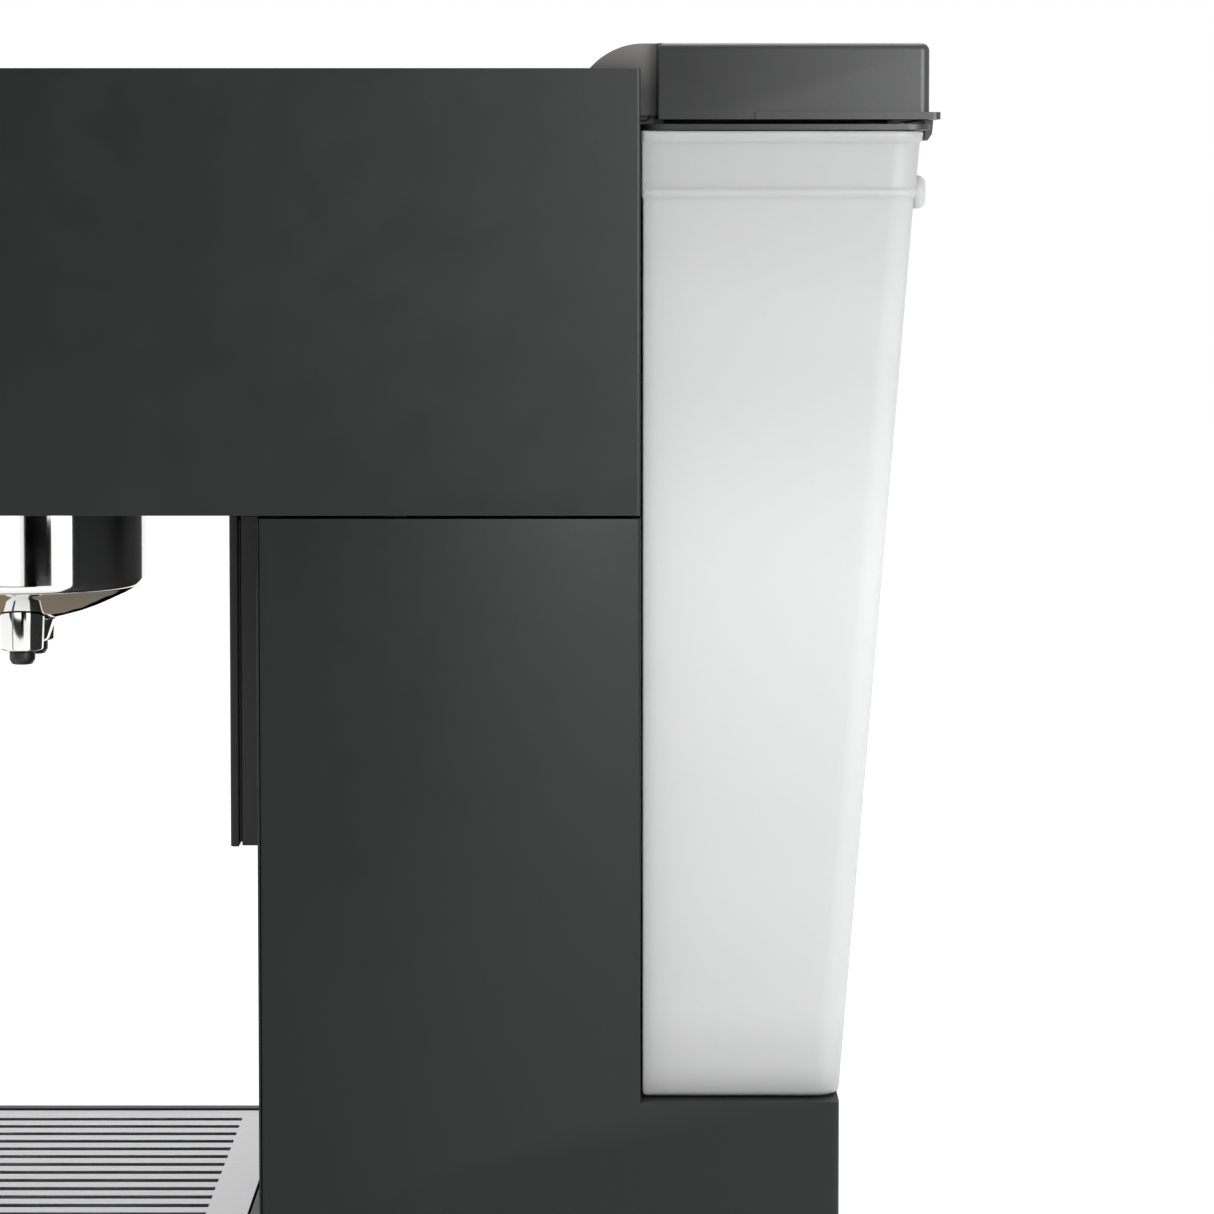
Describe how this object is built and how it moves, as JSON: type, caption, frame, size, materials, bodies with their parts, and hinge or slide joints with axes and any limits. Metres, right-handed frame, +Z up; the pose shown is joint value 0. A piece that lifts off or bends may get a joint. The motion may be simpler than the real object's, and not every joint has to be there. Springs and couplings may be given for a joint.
{
  "type": "pump espresso machine",
  "caption": "Slim matte charcoal pump espresso machine with a lift-out frosted rear water tank, hinged tank lid, turning portafilter with double spout, steam wand and pull-out drip tray",
  "frame": {"origin": "centre of the bounding box at the worktop, under the machine", "axes": "+Z up, -Y is the front where the portafilter handle points, +Y the rear where the tank stands, +X the user's right"},
  "size_m": [0.14, 0.3875, 0.3353],
  "materials": {
    "charcoal": "fine matte texture",
    "charcoal_light": "fine matte texture",
    "black_plastic": "satin",
    "rubber": "matte",
    "tank_plastic": "frosted, lets light through",
    "chrome": "polished",
    "steel": "brushed",
    "aluminium": "as cast",
    "brass": "machined",
    "silicone": "clear",
    "white_plastic": "natural",
    "float_red": "glossy",
    "board": "green resist"
  },
  "bodies": {
    "chassis": {"base_housing": "charcoal", "body_shell": "charcoal", "head_shell": "charcoal", "head_floor": "charcoal", "splash_panel": "black_plastic", "cord_gland": "black_plastic", "foot_front_left": "rubber", "foot_front_right": "rubber", "foot_rear_left": "rubber", "foot_rear_right": "rubber", "cup_warming_plate": "steel", "control_panel": "black_plastic", "control_board": "board", "power_board": "board", "tank_socket": "black_plastic", "group_head": "aluminium", "group_gasket": "rubber", "shower_screen": "steel", "screen_screw": "steel", "brew_valve": "black_plastic", "thermoblock": "aluminium", "thermostat": "white_plastic", "steam_valve": "brass", "steam_pipe": "steel", "steam_feed_pipe": "steel", "wand_nut": "chrome", "vibration_pump": "black_plastic", "pump_mount_lower": "rubber", "pump_mount_upper": "rubber", "suction_hose": "silicone", "pressure_hose": "white_plastic"},
    "drip_tray": {"drip_tray": "charcoal_light"},
    "drip_grid": {"drip_grid": "steel"},
    "tray_float": {"tray_float": "float_red"},
    "portafilter": {"portafilter_body": "chrome", "filter_basket": "steel", "handle_ring": "chrome", "portafilter_handle": "black_plastic", "spout_block": "chrome", "spout_tip_left": "black_plastic", "spout_tip_right": "black_plastic"},
    "steam_wand": {"steam_wand": "steel", "wand_ball": "steel", "frothing_sleeve": "black_plastic", "wand_tip": "steel"},
    "steam_knob": {"steam_knob": "charcoal_light", "steam_spindle": "brass"},
    "power_button": {"power_button": "charcoal_light"},
    "coffee_button": {"coffee_button": "charcoal_light"},
    "steam_button": {"steam_button": "charcoal_light"},
    "water_tank": {"water_tank": "tank_plastic", "tank_collar": "charcoal_light", "lid_hinge_pin": "steel", "tank_valve_body": "white_plastic", "valve_cage": "white_plastic", "valve_spring": "steel", "spigot_seal": "rubber"},
    "valve_plunger": {"valve_plunger": "brass"},
    "tank_lid": {"tank_lid": "charcoal_light"},
    "pump_piston": {"pump_piston": "steel"}
  },
  "joints": [
    {"name": "drip_tray_slide", "type": "slide", "parent": "chassis", "child": "drip_tray", "axis": [0, -1, 0], "range_m": [0, 0.13]},
    {"name": "drip_grid_lift", "type": "slide", "parent": "drip_tray", "child": "drip_grid", "axis": [0, 0, 1], "range_m": [0, 0.05]},
    {"name": "tray_float_rise", "type": "slide", "parent": "drip_tray", "child": "tray_float", "axis": [0, 0, 1], "range_m": [0, 0.007]},
    {"name": "portafilter_turn", "type": "hinge", "parent": "chassis", "child": "portafilter", "pos_m": [0, -0.0433, 0.2055], "axis": [0, 0, 1], "range_deg": [-50, 0]},
    {"name": "steam_wand_swivel", "type": "hinge", "parent": "chassis", "child": "steam_wand", "pos_m": [0.052, -0.072, 0.2178], "axis": [0, 0, 1], "range_deg": [-30, 60]},
    {"name": "steam_knob_turn", "type": "hinge", "parent": "chassis", "child": "steam_knob", "pos_m": [0.04, -0.0959, 0.278], "axis": [0, -1, 0], "range_deg": [0, 270]},
    {"name": "power_button_press", "type": "slide", "parent": "chassis", "child": "power_button", "axis": [0, 1, 0], "range_m": [0, 0.0016], "stiffness_N_per_m": 600, "springref_m": -0.001},
    {"name": "coffee_button_press", "type": "slide", "parent": "chassis", "child": "coffee_button", "axis": [0, 1, 0], "range_m": [0, 0.0016], "stiffness_N_per_m": 600, "springref_m": -0.001},
    {"name": "steam_button_press", "type": "slide", "parent": "chassis", "child": "steam_button", "axis": [0, 1, 0], "range_m": [0, 0.0016], "stiffness_N_per_m": 600, "springref_m": -0.001},
    {"name": "water_tank_lift", "type": "slide", "parent": "chassis", "child": "water_tank", "axis": [0, 0, 1], "range_m": [0, 0.26]},
    {"name": "valve_plunger_slide", "type": "slide", "parent": "water_tank", "child": "valve_plunger", "axis": [0, 0, -1], "range_m": [0, 0.0036], "deforming": ["valve_spring"]},
    {"name": "tank_lid_hinge", "type": "hinge", "parent": "water_tank", "child": "tank_lid", "pos_m": [0, 0.1198, 0.3174], "axis": [1, 0, 0], "range_deg": [0, 72]},
    {"name": "pump_piston_shuttle", "type": "slide", "parent": "chassis", "child": "pump_piston", "axis": [0, 0, 1], "range_m": [-0.0015, 0.0015], "stiffness_N_per_m": 2000}
  ],
  "couplings": [
    {"joint": "valve_plunger_slide", "follows": "water_tank_lift", "ratio": 0.013846}
  ]
}
